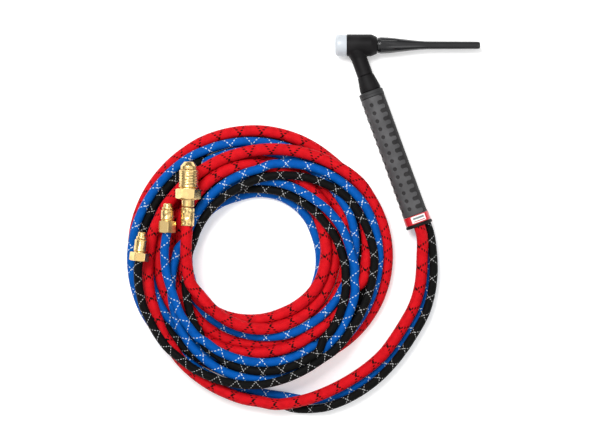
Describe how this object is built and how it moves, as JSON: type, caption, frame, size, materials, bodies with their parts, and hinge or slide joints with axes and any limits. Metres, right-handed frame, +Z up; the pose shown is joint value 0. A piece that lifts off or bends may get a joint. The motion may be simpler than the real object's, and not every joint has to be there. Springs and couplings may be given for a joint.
{
  "type": "tig welding torch with hoses",
  "caption": "Water-cooled TIG welding torch with a long back cap, ribbed grip handle, coiled braided hoses and brass end fittings.",
  "frame": {"origin": "on the surface the torch lies on, under the middle of the torch's own bounding box (hoses and fittings left out)", "axes": "+X from the nozzle end of the head to the end of the back cap, +Y from the handle's end up to the head, +Z up off the surface"},
  "size_m": [0.4038, 0.4331, 0.0614],
  "materials": {
    "black_shell": "satin moulded silicone",
    "black_gloss": "glossy phenolic",
    "rubber": "matt",
    "boot_rubber": "satin",
    "white_insulator": "smooth white insulator",
    "copper": "machined copper alloy",
    "grip": "fine textured grey",
    "label": "printed film band",
    "brass": "bright machined",
    "red_hose": "nylon overbraid, black tracer",
    "blue_hose": "nylon overbraid, white tracer",
    "black_hose": "nylon overbraid, white tracer"
  },
  "bodies": {
    "torch": {"head_shell": "black_shell", "head_socket": "copper", "neck_boot": "boot_rubber", "handle_collar": "grip", "handle_grip": "grip", "handle_label": "label", "handle_end_ring": "black_shell", "power_ferrule": "brass", "power_nipple": "brass", "water_nipple": "brass", "gas_nipple": "brass", "red_lead": "red_hose", "blue_lead": "blue_hose", "black_lead": "black_hose", "red_tail": "red_hose", "blue_tail": "blue_hose", "black_tail": "black_hose", "hose_coil": "black_hose"},
    "gasket": {"gasket": "white_insulator"},
    "back_cap_ring": {"back_cap_o_ring": "rubber"},
    "back_cap": {"back_cap": "black_gloss"},
    "power_nut": {"power_nut": "brass"},
    "water_nut": {"water_nut": "brass"},
    "gas_nut": {"gas_nut": "brass"}
  },
  "joints": [
    {"name": "back_cap_travel", "type": "slide", "parent": "torch", "child": "back_cap_ring", "axis": [1, 0, 0], "range_m": [0, 0.009]},
    {"name": "back_cap_turn", "type": "hinge", "parent": "back_cap_ring", "child": "back_cap", "pos_m": [-0.061, 0.0992, 0.01253], "axis": [1, 0, 0], "range_deg": [0, 2170]},
    {"name": "gasket_pull", "type": "slide", "parent": "torch", "child": "gasket", "axis": [-1, 0, 0], "range_m": [0, 0.012]},
    {"name": "power_nut_spin", "type": "hinge", "parent": "torch", "child": "power_nut", "pos_m": [-0.2493, -0.1072, 0.047], "axis": [0.0292, 0.9996, 0], "continuous": true},
    {"name": "water_nut_spin", "type": "hinge", "parent": "torch", "child": "water_nut", "pos_m": [-0.2724, -0.1147, 0.0433], "axis": [0.0301, 0.9995, 0], "continuous": true},
    {"name": "gas_nut_spin", "type": "hinge", "parent": "torch", "child": "gas_nut", "pos_m": [-0.3037, -0.1464, 0.0438], "axis": [0.1154, 0.9933, 0], "continuous": true}
  ],
  "couplings": [
    {"joint": "back_cap_turn", "follows": "back_cap_travel", "rad_per_m": 4188.8}
  ]
}
